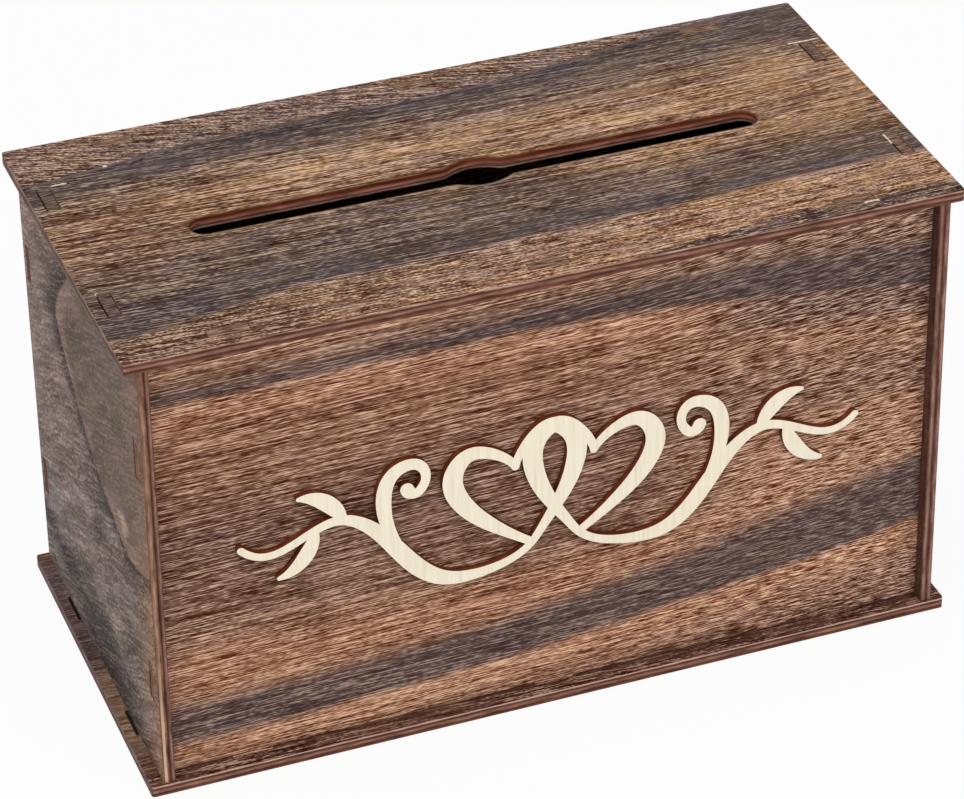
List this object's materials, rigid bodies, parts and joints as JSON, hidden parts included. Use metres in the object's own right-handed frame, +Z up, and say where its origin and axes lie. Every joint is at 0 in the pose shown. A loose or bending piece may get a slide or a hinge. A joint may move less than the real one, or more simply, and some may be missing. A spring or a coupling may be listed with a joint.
{
  "type": "wedding card box",
  "caption": "Slot-together plywood box with a lift-off lid, a long card slot with a finger hole, and a pale wooden ornament on its front.",
  "frame": {"origin": "middle of the base's underside", "axes": "+X along the card slot to the right, +Y from front to back, +Z up"},
  "size_m": [0.25, 0.124, 0.1465],
  "materials": {
    "walnut_ply": "walnut veneer on three-ply board, open grain, scorched edges",
    "basswood": "bare pale basswood, scorched edges"
  },
  "bodies": {
    "box": {"base_panel": "walnut_ply", "left_side_panel": "walnut_ply", "right_side_panel": "walnut_ply", "front_panel": "walnut_ply", "back_panel": "walnut_ply", "front_ornament": "basswood"},
    "lid": {"lid_panel": "walnut_ply"}
  },
  "joints": [
    {"name": "lid_lift", "type": "slide", "parent": "box", "child": "lid", "axis": [0, 0, 1], "range_m": [0, 0.1]}
  ]
}
